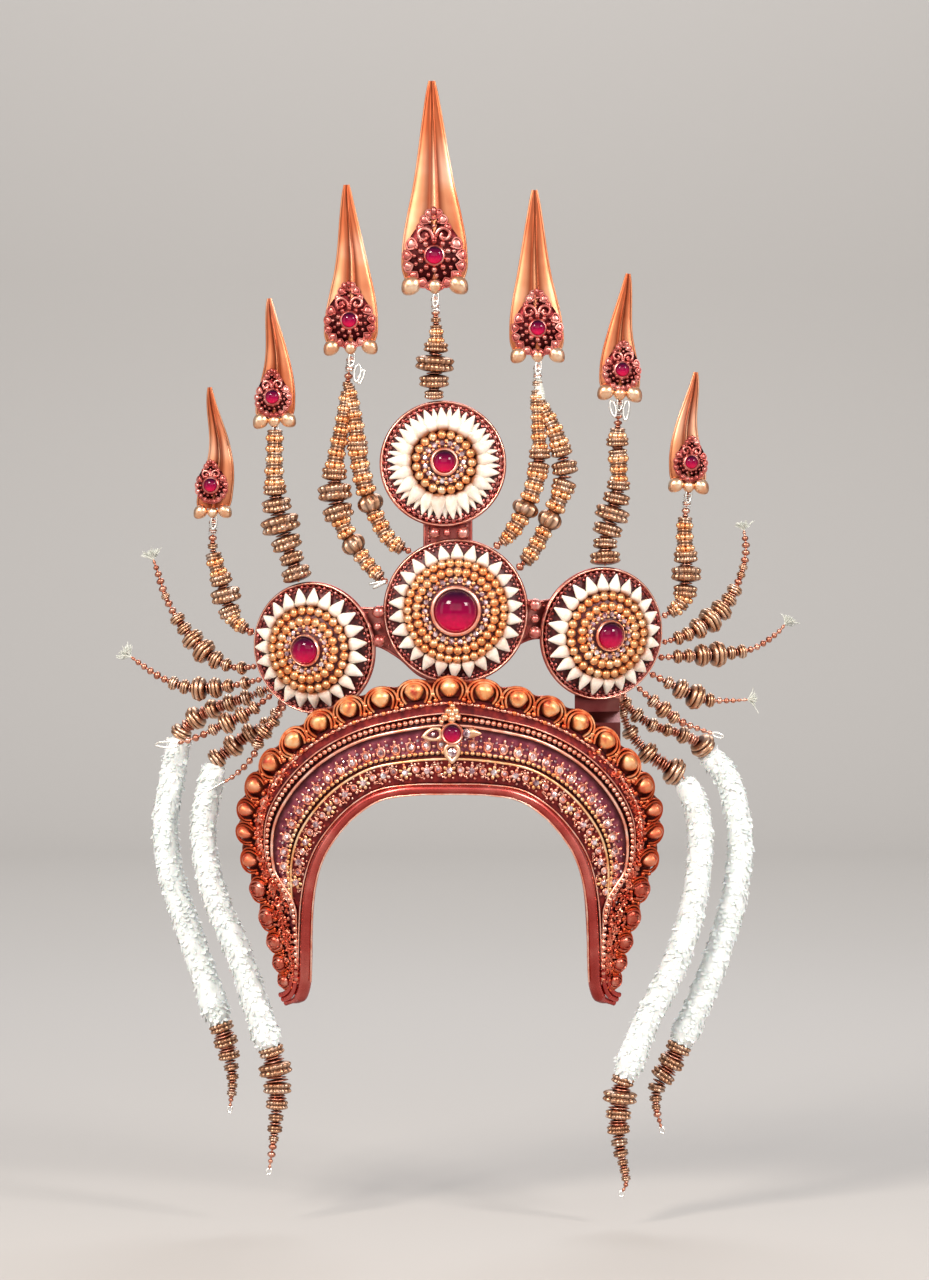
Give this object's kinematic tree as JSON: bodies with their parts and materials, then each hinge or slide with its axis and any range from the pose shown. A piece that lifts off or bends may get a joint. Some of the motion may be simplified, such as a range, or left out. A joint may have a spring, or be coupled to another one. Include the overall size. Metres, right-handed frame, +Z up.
{
  "type": "apsara dance crown",
  "caption": "Crescent dance diadem with domed jewelled discs, flame-shaped blades on beaded stems, side bead strands and hanging white garlands.",
  "frame": {"origin": "top of the face opening, at the middle of the rolled rim that rests on the brow", "axes": "+Z up, the wearer faces -Y, +X to the wearer's left, which is the right of the front view"},
  "size_m": [0.3779, 0.1008, 0.6322],
  "materials": {
    "burgundy": "burgundy lacquer over relief metal",
    "copper": "warm copper, satin",
    "rose_copper": "smooth rose copper, satin",
    "blade_copper": "polished copper",
    "disc_copper": "dark copper",
    "bead_gold": "orange gilt beads",
    "brass": "antique brass",
    "ruby": "crimson glass cabochon",
    "floss": "white chenille"
  },
  "bodies": {
    "root": {"diadem_shell": "burgundy", "diadem_crest": "copper", "diadem_rim": "rose_copper", "brow_flower": "bead_gold", "brow_ruby": "ruby", "backing_plate": "disc_copper", "disc_centre_plate": "disc_copper", "disc_centre_beads": "bead_gold", "disc_centre_ruby": "ruby", "disc_top_plate": "disc_copper", "disc_top_beads": "bead_gold", "disc_top_ruby": "ruby", "disc_left_plate": "disc_copper", "disc_left_beads": "bead_gold", "disc_left_ruby": "ruby", "disc_right_plate": "disc_copper", "disc_right_beads": "bead_gold", "disc_right_ruby": "ruby", "blade_1": "blade_copper", "blade_ruby_1": "ruby", "stem_1": "brass", "blade_2": "blade_copper", "blade_ruby_2": "ruby", "stem_2": "brass", "blade_3": "blade_copper", "blade_ruby_3": "ruby", "stem_3": "brass", "blade_4": "blade_copper", "blade_ruby_4": "ruby", "stem_4": "brass", "blade_5": "blade_copper", "blade_ruby_5": "ruby", "stem_5": "brass", "blade_6": "blade_copper", "blade_ruby_6": "ruby", "stem_6": "brass", "blade_7": "blade_copper", "blade_ruby_7": "ruby", "stem_7": "brass", "strand_l1": "brass", "strand_l2": "brass", "strand_l3": "brass", "strand_l4": "brass", "strand_r1": "brass", "strand_r2": "brass", "strand_r3": "brass", "strand_r4": "brass", "hanger_lo": "brass", "garland_lo": "floss", "finial_lo": "brass", "hanger_li": "brass", "garland_li": "floss", "finial_li": "brass", "hanger_ri": "brass", "garland_ri": "floss", "finial_ri": "brass", "hanger_ro": "brass", "garland_ro": "floss", "finial_ro": "brass"}
  },
  "joints": []
}
